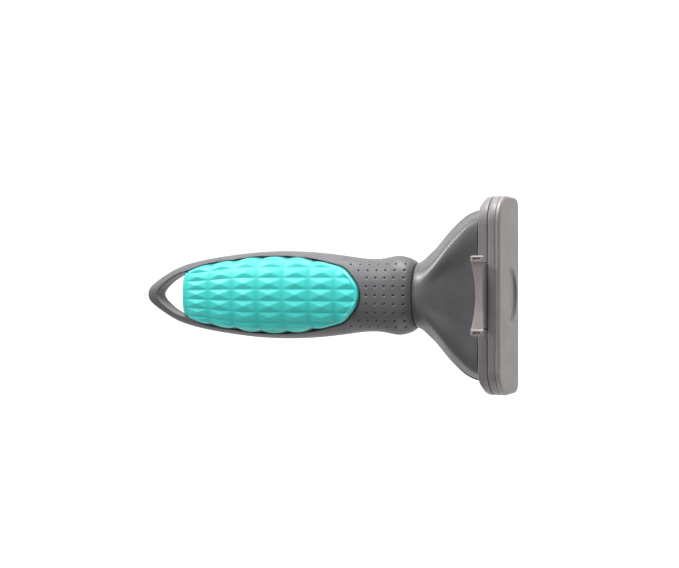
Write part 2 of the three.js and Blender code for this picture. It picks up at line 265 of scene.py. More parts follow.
handle = {
    "stations": [                            # x, half width, centre height, half height
        [-80, 0, 9.6, 0], [-79.2, 2.6, 9.6, 2.3], [-77, 4.8, 9.6, 3.2], [-71.9, 8.0, 9.8, 3.8],
        [-65.8, 11.0, 10.2, 4.5], [-59.7, 12.9, 10.7, 5.8], [-50.6, 14.7, 11.3, 7.8],
        [-40.5, 16.1, 11.8, 9.6], [-28.4, 17.3, 12.2, 11.2], [-14.2, 17.8, 12.8, 11.7],
        [0, 17.2, 13.6, 11.4], [14.0, 15.6, 14.9, 10.6], [27.2, 14.2, 16.3, 9.7],
        [32.3, 14.6, 16.7, 9.9], [37.3, 15.3, 16.9, 10.2], [41.3, 14.5, 16.9, 9.8],
        [43.6, 13.2, 16.8, 8.9], [44.4, 12.4, 16.7, 8.2],
    ],
    "squareness": 2.3,
    "window": [                              # half outline of the opening through the handle
        [-74, 0], [-73.5, 1.3], [-70.7, 4.1], [-67.7, 6.2], [-65.3, 7.5], [-61, 9.0],
        [-57.8, 9.8], [-50.6, 12.1], [-41.4, 13.6], [-32.6, 14.6], [-25.6, 15.3], [-16, 15.6],
        [-8, 15.4], [4.4, 13.8], [11.7, 12.1], [16.3, 10.6], [20.4, 7.2], [23.1, 3.6], [24, 0],
    ],
    "windowFillet": 0.7,
    "edgeSteps": [0, 0.06, 0.15, 0.3, 0.5, 0.75, 1.1],   # columns beside the opening
    "filletColumns": 19,
    "tailLength": 6,                         # the tail's round tip, with the finest lines
    "padFrom": 17,                           # finer lines again from here to the opening's end
    "sideShare": 0.62,                       # part of the turn that the wider columns take
    "wallRows": 12,
    "endFillet": 0.4,
    "endStep": 0.985,
    "socketEnd": 27.2,
    "socketHalf": [6.3, 2.8],
    "socketHeight": 16.5,
    "socketMost": 0.98,
    "pitColumns": 41.9 - 3.83 * np.arange(7),
    "pitRows": [0, 3.35, 6.65, 9.55, 12.0],
    "pitRadius": 0.56,
    "pitDepth": 0.5,
    "pitWall": 0.75,                         # share of the radius over which a pit falls off
    "pitClearance": 1.5,
}

stations = np.array(handle["stations"], float)
windowOutline = smoothOutline(handle["window"], 500)


def handleSection(x):
    # widths and heights are splined as squares, so the tail closes in a round tip
    squares = [splineThrough(stations[:, 0], stations[:, k] ** 2, x) for k in (1, 3)]
    width, height = (np.sqrt(np.maximum(square, 0)) for square in squares)
    return width, splineThrough(stations[:, 0], stations[:, 2], x), height


def handleHeight(x, y, grow):                # height above the centre line of the superellipse at y
    width, centre, height = handleSection(x)
    n = handle["squareness"]
    return (height + grow) * np.maximum(1 - (np.abs(y) / (width + grow)) ** n, 0) ** (1 / n)


def surfaceNormals(points):                  # cross product of the grid's two differences
    normal = np.cross(np.gradient(points, axis=0), np.gradient(points, axis=1))
    return normal / np.maximum(np.linalg.norm(normal, axis=-1, keepdims=True), 1e-9)


def buildFrame(material):
    # lines along the handle, closer at its tail and at both ends of the opening
    n, r = handle["squareness"], handle["endFillet"]
    start, end, padFrom = stations[0, 0], stations[-1, 0], handle["padFrom"]
    tip, pad = windowOutline[0, 0], windowOutline[-1, 0]
    close = np.array([0.05, 0.12, 0.25, 0.45, 0.7])
    parts = [start + handle["tailLength"] * np.linspace(0, 1, 18) ** 2, clustered(tip, padFrom, 96)]
    parts += [np.linspace(padFrom, pad, 27), np.linspace(pad, end - r, 76)]
    parts += [pad - close, pad + close, tip - close, tip + close]
    lines = np.unique(np.round(np.concatenate(parts), 4))
    turn = np.linspace(0, np.pi / 2, 5)[1:]
    x = np.concatenate([lines, end - r + r * np.sin(turn)])
    shrink = np.concatenate([lines * 0, r * (1 - np.cos(turn))])
    width, middle, height = handleSection(x)
    width, height = width - shrink, height - shrink
    edge = halfWidthOf(windowOutline, x)

    # columns run from the opening's upper edge round the side to its lower edge
    steps = np.array(handle["edgeSteps"])
    reach = np.minimum(steps[-1], 0.5 * (width - edge))
    nearY = edge[:, None] + steps / steps[-1] * reach[:, None]
    ratio = np.clip(nearY / np.maximum(width, 1e-6)[:, None], 0, 1)
    near = np.arccos(ratio ** (n / 2))
    bend = handle["sideShare"]
    share = np.concatenate([np.linspace(0, bend, 50)[1:], np.linspace(bend, 1, 15)[1:]])
    upper = np.hstack([near, near[:, -1:] * (1 - share)])
    angle = np.hstack([upper, -upper[:, -2::-1]])
    y = width[:, None] * np.cos(angle) ** (2 / n)
    rise = height[:, None] * np.abs(np.sin(angle)) ** (2 / n)
    drop = np.zeros_like(y)
    k = handle["filletColumns"]
    fromEdge = planDistance(windowOutline, np.repeat(x[:, None], k, 1), y[:, :k])
    fromEdge = filletDrop(fromEdge, handle["windowFillet"])
    drop[:, :k] = fromEdge
    drop[:, -k:] = fromEdge[:, ::-1]
    z = middle[:, None] + np.sign(angle) * np.maximum(rise - drop, 0)
    points = np.stack([np.repeat(x[:, None], y.shape[1], 1), y, z], -1)

    # grip pits round the collar, pressed in along the normals
    normals = surfaceNormals(points)
    flat = points.reshape(-1, 3)
    depth = np.zeros(len(flat))
    for row in handle["pitRows"]:
        for column in handle["pitColumns"]:
            if planDistance(windowOutline, np.array([column]), np.array([row]))[0] < handle["pitClearance"]:
                continue
            if halfWidthOf(windowOutline, column) > row:
                continue
            lift = float(handleHeight(np.array([column]), np.array([row]), 0)[0])
            centre = float(handleSection(np.array([column]))[1][0])
            for side in (1, -1):
                away = np.linalg.norm(flat - [column, row, centre + side * lift], axis=1)
                pit = smoothStep((handle["pitRadius"] - away) / (handle["pitWall"] * handle["pitRadius"]))
                depth = np.maximum(depth, handle["pitDepth"] * pit)
    axisPoints = np.stack([points[..., 0], 0 * y, middle[:, None] + 0 * z], -1)
    outward = np.sign((normals * (points - axisPoints)).sum(-1))
    points = points - normals * (outward * depth.reshape(y.shape))[..., None]
    # how far each point lies into a pit; the finish darkens the pits by this as painted shade
    pits = np.clip(depth / handle["pitDepth"], 0, 1)

    # the collar's end face, down into the socket for the tang
    last = points[-1]
    arm = last[:, 1:] - [0, handle["socketHeight"]]
    half = np.array(handle["socketHalf"])
    scale = (half / np.maximum(np.abs(arm), 1e-6)).min(1, keepdims=True)
    rim = arm * np.minimum(scale, handle["socketMost"]) + [0, handle["socketHeight"]]
    away = np.tile([[0, handle["socketHeight"]]], (len(last), 1))
    step, floor = handle["endStep"], handle["socketEnd"]
    rows = [(last[:, 1:] * step + away * (1 - step), end), (rim, end), (rim, floor), (away, floor)]
    cap = np.stack([last] + [np.column_stack([np.full(len(p), level), p]) for p, level in rows])

    # the upright wall inside the opening
    inside = (x >= tip - 1e-6) & (x <= pad + 1e-6)   # with room for rounding
    top, low = points[inside, 0], points[inside, -1]
    share = np.linspace(0, 1, handle["wallRows"])[None, :, None]
    inner = top[:, None, :] * (1 - share) + low[:, None, :] * share

    half = [sheetOf(points), sheetOf(cap), sheetOf(inner)]
    values = np.concatenate([pits, np.zeros(len(half[1][0]) + len(half[2][0]))])
    whole = joinParts(half + [mirroredY(part) for part in half])
    piece = makeObject("handleFrame", whole, {"pit": np.tile(values, 2)})
    return finishPiece(piece, "handle", ["handle_frame"], material, 50)


grip = {
    "baseGap": 0.06,                         # between the pad's foot and the opening's wall
    "gap": 0.25,                             # between the pad's outline and the opening's edge
    "end": -59.6,
    "endLength": 2.3,
    "endHalf": 9.2,
    "proud": 1.0,
    "fold": 1.15,                            # radius of the pad's rim
    "scallop": 1.15,                         # how far the sides draw in between two columns
    "relief": 0.66,                          # height of the pyramids
    "firstColumn": 13.3,
    "columnPitch": 11.1,
    "columnGrowth": 0.12,
    "rowPitch": 4.65,
    "tailPitch": 3.7,
    "tailBlend": (-26, 32),                  # where the rows start to narrow, and over what length
    "arc": (1.06, 0.16, 0.22),               # the rows' spacing follows the surface round the side
    "crispness": 10,
    "scallopTail": (-55, 8),                 # start and length of the scalloped stretch's two ends
    "scallopCollar": (3, 9),
    "collarRim": (13, 5),                    # the pyramids fade out towards the collar end's rim
    "rimStart": 0.5,
    "rimLength": 1.3,
    "tailFade": (0.35, 1.6),                 # share of the relief left at the tail end, and its length
    "rimDrop": 0.9,
    "inner": 4.4,
    "leastDepth": 0.3,
    "tableGap": 0.02,
    # painted shade along the pad's border, in the gap to the opening's edge
    "grooveShadeLength": 0.35,
    "grooveShadeTone": 0.6,
}


def columnAt(x):                             # columns counted from the collar, longer to the tail
    b, c = grip["columnPitch"], grip["columnGrowth"]
    return (-b + np.sqrt(b * b + 4 * c * (grip["firstColumn"] - x))) / (2 * c)


def offMiddle(cells):                        # 0 at a cell's middle, 1 at its borders
    return np.abs(2 * (cells - np.floor(cells)) - 1)


def gripHalf(x, inner, scallop=0):
    # the lesser of the inset opening and a square-shouldered end cap, drawn in between columns
    across = np.clip((x - grip["end"]) / grip["endLength"], 0, 1)
    cap = grip["endHalf"] * (1 - (1 - across) ** 4) ** 0.25 + np.where(across >= 1, 50, 0)
    tail, tailLength = grip["scallopTail"]
    collar, collarLength = grip["scallopCollar"]
    sides = smoothStep((x - tail) / tailLength) * (1 - smoothStep((x - collar) / collarLength))
    return np.minimum(halfWidthOf(inner, x) - scallop * sides * offMiddle(columnAt(x)) ** 2, cap)


def knurl(x, y, width):
    # pyramids: 1 at a cell's middle and 0 on its borders, by the larger of the two offsets
    widen, second, sixth = grip["arc"]
    ratio = np.clip(np.abs(y) / (width * widen), 0, 1)
    arc = np.abs(y) * (1 + second * ratio ** 2 + sixth * ratio ** 6)
    tail = smoothStep((grip["tailBlend"][0] - x) / grip["tailBlend"][1])
    pitch = grip["rowPitch"] + (grip["tailPitch"] - grip["rowPitch"]) * tail
    row = arc / pitch + 0.5
    power = grip["crispness"]
    larger = (offMiddle(columnAt(x)) ** power + offMiddle(row) ** power) ** (1 / power)
    return np.clip(1 - larger, 0, 1)


def buildGrip(name, node, side, material):
    step = np.gradient(windowOutline, axis=0)
    normal = np.stack([step[:, 1], -step[:, 0]], -1) / np.linalg.norm(step, axis=1, keepdims=True)
    inner = windowOutline + normal * grip["gap"]
    foot = windowOutline + normal * grip["baseGap"]
    start, end, scallop = grip["end"], inner[-1, 0], grip["scallop"]
    close = np.array([0, 0.02, 0.06, 0.12, 0.22, 0.36, 0.55, 0.8])
    x = np.unique(np.concatenate([start + close, end - close, np.linspace(start + 1, end - 1, 250)]))
    half = gripHalf(x, inner, scallop)
    half[[0, -1]] = 0                        # both ends close to a point
    footX = start + (x - start) * (foot[-1, 0] - start) / (end - start)
    footHalf = gripHalf(footX, foot)
    footHalf[[0, -1]] = 0
    t = np.concatenate([-1 + 0.1 * np.linspace(0, 1, 9) ** 1.5, np.linspace(-0.9, 0.9, 92)[1:-1]])
    t = np.concatenate([t, 1 - 0.1 * np.linspace(1, 0, 9) ** 1.5])
    gridX = np.repeat(x[:, None], len(t), 1)
    gridY = half[:, None] * t
    dense = np.unique(np.concatenate([clustered(start, end, 700), start + close]))
    border = np.column_stack([dense, gripHalf(dense, inner, scallop)])
    border[[0, -1], 1] = 0
    tailEdge = np.column_stack([np.full(40, start), np.linspace(0, 5.5, 40)])
    distance = planDistance(np.vstack([border, tailEdge]), gridX, np.abs(gridY))
    width, middle = handleSection(gridX)[:2]
    relief = knurl(gridX, gridY, width)

    # the pyramids stay full in the middle and fade into a plain rim at both ends
    rimFrom, rimOver = grip["collarRim"]
    least, fadeLength = grip["tailFade"]
    full = smoothStep((distance - grip["rimStart"]) / grip["rimLength"])
    full = full + 1 - smoothStep((gridX - rimFrom) / rimOver)
    full = np.clip(full, 0, 1) * (least + (1 - least) * smoothStep((gridX - start) / fadeLength))
    low = grip["relief"] * (1 - relief) * np.where(gridX > rimFrom, full, 1) * np.clip(full + least, 0, 1)
    top = handleHeight(gridX, gridY, grip["proud"]) - low
    top = top - filletDrop(distance, grip["fold"]) * grip["rimDrop"]
    top = np.maximum(top, grip["inner"] + grip["leastDepth"])
    gridZ = middle + side * top
    baseX = np.repeat(footX[:, None], len(t), 1)
    floor = handleSection(baseX)[1] + side * grip["inner"]
    if side < 0:
        gridZ = np.maximum(gridZ, grip["tableGap"])
    outer = np.stack([gridX, gridY, gridZ], -1)
    under = np.stack([baseX, footHalf[:, None] * t, floor], -1)
    values = np.concatenate([relief.ravel(), np.zeros(relief.size)])
    # painted shade: darkest at the pad's border and fading inwards; the underside takes it in full
    rim = grip["grooveShadeTone"] * (1 - smoothStep(distance / grip["grooveShadeLength"]))
    groove = np.concatenate([rim.ravel(), np.ones(relief.size)])
    piece = makeObject(name, shellBetween(outer, under), {"relief": values, "groove": groove})
    return finishPiece(piece, "handle", [node], material, 60)


neck = {
    "stations": [                            # x, half width, centre height, half height, power, draft
        [44.7, 12.4, 16.7, 7.9, 2.4, 1.4], [46.8, 13.5, 16.7, 8.3, 3.4, 4.4],
        [49.2, 15.5, 16.7, 8.6, 5.2, 6.9], [51.5, 17.5, 16.6, 8.7, 7.0, 7.6],
        [53.9, 20.2, 16.4, 8.7, 8.4, 8.1], [56.2, 23.0, 16.2, 8.6, 9.0, 8.4],
        [58.6, 25.7, 16.0, 8.4, 9.0, 8.3], [60.9, 27.9, 15.8, 8.2, 9.0, 8.0],
        [63.2, 29.6, 15.6, 8.0, 9.0, 7.3], [66.0, 31.2, 15.3, 7.8, 9.0, 5.8],
        [72.0, 32.6, 15.1, 7.8, 9.0, 3.6],
    ],
    "sectionEnd": 71.0,
    "rows": 84,
    "columns": 150,
    "wall": 1.8,
    "split": 16.0,
    "gap": 0.13,
    "dish": 0.9,
    "dishSpread": (0.4, 0.45),               # share of the flat top where it fades, and over what share
    "dishAlong": (47.5, 9),
    "dishRise": 4,
    "seamChamfer": (0.012, 0.35),            # share of the width lost, and over what height
    "endGap": 0.36,
    "screwX": [51.5, 58.5],
    "boss": (3.4, 8.6, 13.7),                # radius, from, to
    "recess": (2.7, 2, 10.3),
    "shank": (1.5, 5, 20),
}

headLean = math.radians(4)
headTop = np.array([69.96, 0, 23.1])


def toTool(points):
    # head axes (thickness, across, up) leaned forward and moved to the head's top edge
    t, y, z = points[..., 0], points[..., 1], points[..., 2]
    c, s = math.cos(headLean), math.sin(headLean)
    return np.stack([headTop[0] + t * c - z * s, y, headTop[2] + t * s + z * c], -1)


def inTool(part):
    return toTool(part[0]), part[1]


def neckSection(angle, width, height, power, draft):
    # a box with leaning sides and round edges: the two sides' distances joined by a power mean
    c, q = np.abs(np.cos(angle)), np.abs(np.sin(angle))
    reach = 1 / (q ** power + (c + draft / width * q) ** power) ** (1 / power)
    return width * reach * np.cos(angle), height * reach * np.sin(angle)


def neckGrid(side, inset):
    # sections between the seam's two sides, sheared to meet the head's back face
    table = np.array(neck["stations"], float)
    share = np.linspace(0, 1, neck["rows"])
    s = table[0, 0] + share * (neck["sectionEnd"] - table[0, 0])
    columns = [splineThrough(table[:, 0], table[:, k], s)[:, None] for k in range(1, 6)]
    width, middle, height, power, draft = columns
    width, height = width - inset, height - inset
    split = neck["split"] + side * neck["gap"]
    low, high = np.full_like(width, -1.0), np.full_like(width, 1.0)
    for _ in range(40):                      # halve the angle's range until the section meets the seam
        seam = (low + high) / 2
        above = middle + neckSection(seam, width, height, power, draft)[1] > split
        low, high = np.where(above, low, seam), np.where(above, seam, high)
    # the angle runs over the upper half from seam to seam, and under the lower half likewise
    across = np.linspace(0, 1, neck["columns"])
    angle = seam + across * (np.pi - 2 * seam) if side > 0 else seam - across * (np.pi + 2 * seam)
    y, z = neckSection(angle, width, height, power, draft)
    z = middle + z
    if side > 0:
        fadeFrom, over = neck["dishSpread"]
        spread = 1 - smoothStep((np.abs(y) / (width - draft) - fadeFrom) / over)
        along = smoothStep((s[:, None] - neck["dishAlong"][0]) / neck["dishAlong"][1])
        z = z - neck["dish"] * spread * along * smoothStep((z - split) / neck["dishRise"])
    if inset == 0:                           # a fine chamfer beside the seam
        lost, over = neck["seamChamfer"]
        y = y * (1 - lost * (1 - smoothStep(np.abs(z - split) / over)))
    lean = math.tan(headLean)
    end = headTop[0] - neck["endGap"] / math.cos(headLean) - (z - headTop[2]) * lean
    x = table[0, 0] + share[:, None] * (end - table[0, 0])
    return np.stack([x, y, z], -1)


def buildNeck(material):
    for name, node, side in (("neckUpper", "neck_upper_shell", 1), ("neckLower", "neck_lower_shell", -1)):
        piece = makeObject(name, shellBetween(neckGrid(side, 0), neckGrid(side, neck["wall"])))
        if side < 0:                         # screw bosses, then the heads' recesses and the holes
            for operation, bar in (("UNION", "boss"), ("DIFFERENCE", "recess"), ("DIFFERENCE", "shank")):
                combine(piece, operation, [barPart(*neck[bar], (x, 0), 2) for x in neck["screwX"]])
        finishPiece(piece, "handle", [node], material, 40)


headShape = {
    "halfWidth": 37.5,
    "corner": 10.5,
    "housingBottom": -16.0,
    "wall": 1.3,
    "back": (0, 3.6),
    "front": (3.8, 6.8),
    "frontInner": 5.5,
    "screws": [(-31.5, -4.5), (31.5, -4.5), (-31.5, -11), (31.5, -11)],
    "screwHole": 1.1,
    "stemSlot": ((1.6, -12.4, -1.5), (4, 12.4, 2)),
    "springY": 20,
    "springThickness": 2.4,
    "springFloor": ((1, -1.4, -12.7), (3.4, 1.4, -11.5)),
    "lowCorner": 0.8,
    "middle": (0, -8),
}


def headOutline(bottom, lowCorner, extra=0):
    # up one side, round the two upper corners, down the other and round the two lower ones
    def outline(inset, level):
        inset = inset + extra
        low = (bottom(level) if callable(bottom) else bottom) + inset
        side = headShape["halfWidth"] - inset
        r = max(headShape["corner"] - inset, 0.05)
        q = max(lowCorner - inset, 0.02)
        turn = np.linspace(0, np.pi / 2, 16)
        quarter = np.linspace(0, np.pi / 2, 8)
        across = np.linspace(1, -1, 26)[1:-1]
        up = np.linspace(0, 1, 10)[1:-1]
        sideZ = low + q + (-inset - r - low - q) * up
        right = [np.column_stack([np.full(8, side), sideZ])]
        right.append(np.column_stack([side - r + r * np.cos(turn), -inset - r + r * np.sin(turn)]))
        top = [np.column_stack([(side - r) * across, np.full(24, -inset)])]
        left = [np.column_stack([-side + r - r * np.sin(turn), -inset - r + r * np.cos(turn)])]
        left.append(np.column_stack([np.full(8, -side), sideZ[::-1]]))
        left.append(np.column_stack([-side + q - q * np.cos(quarter), low + q - q * np.sin(quarter)]))
        under = [np.column_stack([-(side - q) * across, np.full(24, low)])]
        under.append(np.column_stack([side - q + q * np.sin(quarter), low + q - q * np.cos(quarter)]))
        return np.vstack(right + top + left + under)
    return outline


def buildHousings(material):
    # each half: a plate, hollowed, given its screw bosses, then drilled
    bottom, wall, middle = headShape["housingBottom"], headShape["wall"], headShape["middle"]
    (b0, b1), (f0, f1) = headShape["back"], headShape["front"]
    holes, radius = headShape["screws"], headShape["screwHole"]
    shape = headOutline(bottom, headShape["lowCorner"])
    hollow = headOutline(bottom - 5, 0.1, wall)
    springs = (-headShape["springY"], headShape["springY"])
    shelfLow, shelfHigh = (np.array(corner) for corner in headShape["springFloor"])

    # the back half's rear edge rounds off more at the two ends, where it meets the flanks
    ends = smoothStep((np.abs(shape(0, 0)[:, 0]) - 31.5) / 5)
    plate = platePart(shape, b0, b1, 0.45 + 1.75 * ends, 0.3 + 0 * ends, middle)
    back = makeObject("headBack", inTool(plate))
    combine(back, "DIFFERENCE", [inTool(prism(hollow, [(0, wall - 0.1), (0, 4)], middle))])
    added = [inTool(barPart(2.4, 1, b1, spot, 0)) for spot in holes]
    added += [inTool(boxPart(shelfLow + [0, y, 0], shelfHigh + [0, y, 0])) for y in springs]
    combine(back, "UNION", added)
    cut = [inTool(barPart(radius, 1.5, 4, spot, 0)) for spot in holes]
    cut += [inTool(boxPart(*headShape["stemSlot"]))]
    cut += [inTool(barPart(0.7, -14, -10, (headShape["springThickness"], y), 2)) for y in springs]
    combine(back, "DIFFERENCE", cut)
    finishPiece(back, "handle", ["head_back_housing"], material, 30)

    front = makeObject("headFront", inTool(prism(shape, filletStops(f0, f1, 0.35, 0.5), middle)))
    combine(front, "DIFFERENCE", [inTool(prism(hollow, [(0, 3), (0, headShape["frontInner"])], middle))])
    combine(front, "UNION", [inTool(barPart(2.6, f0, 6, spot, 0)) for spot in holes])
    combine(front, "DIFFERENCE", [inTool(barPart(radius, 3, 8, spot, 0)) for spot in holes])
    combine(front, "DIFFERENCE", [inTool(barPart(2.1, 5.6, 8, spot, 0)) for spot in holes])
    finishPiece(front, "handle", ["head_front_housing"], material, 30)


guard = {
    "front": 8.4,
    "corner": 4.0,
    "fillet": 1.1,
    "backFillet": 0.8,
    "recessMiddle": (0, -12.9),
    "recessHalf": (10.9, 8.3),
    "recessDepth": 0.85,
    "recessRings": [0, 0.2, 0.4, 0.6, 0.75, 0.86, 0.92, 0.96, 0.98, 1.0, 1.02, 1.04],
    "recessWall": (1.01, 0.09),              # where the recess starts, and its wall's share of the reach
    "recessSlope": (0.62, 0.38),             # its depth at the middle, and what it gains to the lower rim
    "housingSpace": ((-1, -60, -16.35), (6.9, 60, 3)),
    "bladeSpace": ((1.4, -36, -21.9), (6.95, 36, -10)),
}


def guardBottom(level):                      # the foot lies flat on the table
    return -(headTop[2] + level * math.sin(headLean)) / math.cos(headLean)


def buildGuard(material):
    outline = headOutline(guardBottom, guard["corner"])
    front, middle = guard["front"], np.array(guard["recessMiddle"])
    stops = filletStops(0, front, guard["backFillet"], guard["fillet"], 7)
    edge = outline(guard["fillet"] + faceInset, front)
    arm = edge - middle
    unit = arm / np.linalg.norm(arm, axis=1, keepdims=True)
    reach = 1 / np.linalg.norm(unit / guard["recessHalf"], axis=1, keepdims=True)
    # the thumb recess: rings of one ellipse, deepest inside its lower rim
    rings = []
    (rimShare, wallShare), (atMiddle, gained) = guard["recessWall"], guard["recessSlope"]
    for share in guard["recessRings"][::-1]:
        spot = middle + unit * reach * share
        wallShape = smoothStep((rimShare - share) / wallShare)
        lower = atMiddle - gained * (spot[:, 1] - middle[1]) / guard["recessHalf"][1]
        depth = guard["recessDepth"] * wallShape * lower
        rings.append(np.column_stack([front - depth, spot]))
    body = [outlineRing(outline(inset, level), level) for inset, level in stops]
    start = np.tile([[0, 0, -12]], (len(edge), 1))
    piece = makeObject("guardCover", inTool(sheetOf(np.stack([start, *body, *rings]), True)))
    for space in ("housingSpace", "bladeSpace"):
        combine(piece, "DIFFERENCE", [inTool(boxPart(*guard[space]))])
    return finishPiece(piece, "guard", ["blade_guard"], material, 30)


button = {
    "half": 14.75,
    "lip": 2.2,
    "low": 4.5,
    "top": 6.6,
    "lipStep": 0.4,
    "dish": 1.55,
    "sag": 0.4,                              # the underside follows the dish by this much
    "back": (-0.6, 0.7),                     # at the ends and at the waist
    "front": (4.4, 3.75),
    "squareness": 5.5,
    "endRound": 0.7,
    "flat": 11.6,                            # half the length that needs only wide steps
    "turnSteps": 96,
    "pocket": (1.5, 0.5, 0.4),               # half thickness, half length, depth
    "pocketMiddle": 1.9,
    "pocketCorner": 0.35,
    "screwHole": (1.0, 2.3, 4),              # radius, from, to
    "screws": [(-8, -4), (8, -4)],
}


def buildButton(material):
    # rounded-square sections along the width, with raised ends, a dished middle and a waist
    half, lip, r, flat = button["half"], button["lip"], button["endRound"], button["flat"]
    turn = np.linspace(0, np.pi / 2, 7)[1:]
    inside = np.concatenate([np.linspace(0, flat, 30), np.linspace(flat, half - r, 26)[1:]])
    y = np.concatenate([inside, half - r + r * np.sin(turn)])
    shrink = np.concatenate([inside * 0, r * (1 - np.cos(turn))])
    y, shrink = np.concatenate([-y[:0:-1], y]), np.concatenate([shrink[:0:-1], shrink])
    share = np.clip(np.abs(y) / (half - lip), 0, 1)
    waist = 1 - share ** 2
    back = button["back"][0] + (button["back"][1] - button["back"][0]) * waist + shrink
    front = button["front"][0] + (button["front"][1] - button["front"][0]) * waist - shrink
    inner = smoothStep((half - lip + 0.15 - np.abs(y)) / 0.5)
    top = button["top"] - button["lipStep"] * inner - button["dish"] * waist - shrink
    low = button["low"] - button["sag"] * waist + shrink
    count, n = button["turnSteps"], button["squareness"]
    angle = np.linspace(0, 2 * np.pi, count, endpoint=False)
    c, s = np.cos(angle), np.sin(angle)
    a = np.sign(c) * np.abs(c) ** (2 / n)
    b = np.sign(s) * np.abs(s) ** (2 / n)
    t = ((front + back) / 2)[:, None] + ((front - back) / 2)[:, None] * a
    z = ((top + low) / 2)[:, None] + ((top - low) / 2)[:, None] * b
    grid = np.stack([t, np.repeat(y[:, None], count, 1), z], -1)
    ends = [np.tile(grid[k].mean(0), (1, count, 1)) for k in (0, -1)]
    piece = makeObject("thumbButton", inTool(sheetOf(np.concatenate([ends[0], grid, ends[1]]), True)))
    stem = prism(rectOutline((-12, -1.4), (12, 5), 0.5), filletStops(1.9, 3.6, 0.2, 0.2, 3), (0, 2))
    tab = prism(rectOutline((-12, -6), (12, -1.0), 0.8), filletStops(2.5, 3.28, 0.1, 0.1, 3), (0, -3))
    combine(piece, "UNION", [inTool(stem)])
    combine(piece, "UNION", [inTool(tab)])

    # a small pocket in each raised end, cut from above
    (halfT, halfY, depth), centre = button["pocket"], button["pocketMiddle"]
    floor, chamfer, pockets = button["top"] - depth, 0.12, []
    for sign in (-1, 1):
        middle = sign * (half - lip / 2 - 0.05)
        low, high = (centre - halfT, middle - halfY), (centre + halfT, middle + halfY)
        rows = [(chamfer, floor), (0, floor + chamfer), (0, button["top"] + 1)]
        points, faces = prism(rectOutline(low, high, button["pocketCorner"]), rows, (centre, middle))
        pockets.append(inTool((points[:, [1, 2, 0]], faces)))
    combine(piece, "DIFFERENCE", pockets)
    holes = [inTool(barPart(*button["screwHole"], spot, 0)) for spot in button["screws"]]
    combine(piece, "DIFFERENCE", holes)
    return finishPiece(piece, "ejector", ["ejector_button"], material, 30)


screws = {                                   # head: face and seat; cross: arm, half width, depth
    "neck": {"radius": 2.4, "head": (8.9, 10.0), "shank": 1.2, "tip": 22.2, "cross": (1.5, 0.26, 0.55)},
    "housing": {"radius": 1.8, "head": (6.6, 5.9), "shank": 0.8, "tip": 1.8, "cross": (1.1, 0.2, 0.4)},
}


def buildScrew(name, node, kind, middle, axis, material):
    # a domed head, a step to the shank and a short point, turned about the screw's axis
    face, seat = kind["head"]
    sign = math.copysign(1, seat - face)
    r, shank, tip = kind["radius"], kind["shank"], kind["tip"]
    profile = [(0, face), (r * 0.6, face), (r * 0.86, face + sign * 0.1), (r, face + sign * 0.35)]
    profile += [(r, seat), (shank, seat), (shank, tip - sign * 0.8), (0.15, tip), (0, tip)]
    piece = makeObject(name, lathe(profile, 40, middle, axis))
    arm, half, depth = kind["cross"]
    for a, b in ((arm, half), (half, arm)):
        low = [middle[0] - a, middle[1] - b, min(face - sign, face + sign * depth)]
        high = [middle[0] + a, middle[1] + b, max(face - sign, face + sign * depth)]
        if axis == 0:
            low, high = [low[2], low[0], low[1]], [high[2], high[0], high[1]]
        combine(piece, "DIFFERENCE", [boxPart(low, high)])
    if axis == 0:                            # made in the head's axes, so it leans with the head
        spots = np.zeros(len(piece.data.vertices) * 3)
        piece.data.vertices.foreach_get("co", spots)
        moved = toTool(spots.reshape(-1, 3) / mm) * mm
        piece.data.vertices.foreach_set("co", moved.ravel())
        piece.data.update()
    return finishPiece(piece, "handle", [node], material, 35)


def buildScrews(material):
    for i, x in enumerate(neck["screwX"]):
        buildScrew(f"neckScrew{i + 1}", f"neck_screw_{i + 1}", screws["neck"], (x, 0), 2, material)
    for i, middle in enumerate(headShape["screws"]):
        buildScrew(f"housingScrew{i + 1}", f"housing_screw_{i + 1}", screws["housing"], middle, 0, material)


spring = {
    "foot": -11.35,
    "top": -3.65,
    "radius": 0.8,
    "wire": 0.14,
    "coils": 5.5,
    "flatTurn": 0.55,                        # turns that lie flat at each end
    "pathSteps": 240,
    "ringSteps": 12,
}


def buildSprings(material):
    # a wire carried along a helix whose first and last turns lie flat
    for label, sign in (("left", -1), ("right", 1)):
        middle = np.array([headShape["springThickness"], sign * headShape["springY"], 0])
        turns, flat = np.linspace(0, spring["coils"], spring["pathSteps"]), spring["flatTurn"]
        rise = np.clip((turns - flat) / (spring["coils"] - 2 * flat), 0, 1)
        low, high = spring["foot"] + spring["wire"], spring["top"] - spring["wire"]
        angle = 2 * np.pi * turns
        path = np.stack([
            middle[0] + spring["radius"] * np.cos(angle),
            middle[1] + spring["radius"] * np.sin(angle),
            low + (high - low) * rise,
        ], -1)
        along = np.gradient(path, axis=0)
        along /= np.linalg.norm(along, axis=1, keepdims=True)
        outward = np.stack([np.cos(angle), np.sin(angle), 0 * angle], -1)
        third = np.cross(along, outward)
        third /= np.linalg.norm(third, axis=1, keepdims=True)
        outward = np.cross(third, along)
        count = spring["ringSteps"]
        ring = np.linspace(0, 2 * np.pi, count, endpoint=False)
        around = outward[:, None] * np.cos(ring)[:, None] + third[:, None] * np.sin(ring)[:, None]
        tube = path[:, None] + spring["wire"] * around
        ends = [np.repeat(path[k:k + 1, None], count, 1) for k in (0, len(path) - 1)]
        closed = np.concatenate([ends[0], tube, ends[1]])
        piece = makeObject(f"returnSpring.{label}", inTool(sheetOf(closed, True)))
        finishPiece(piece, None, [f"return_spring_{label}"], material, 40)
        foot, top = (toTool(middle + [0, 0, z]) * mm for z in (spring["foot"], spring["top"]))
        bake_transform(piece)


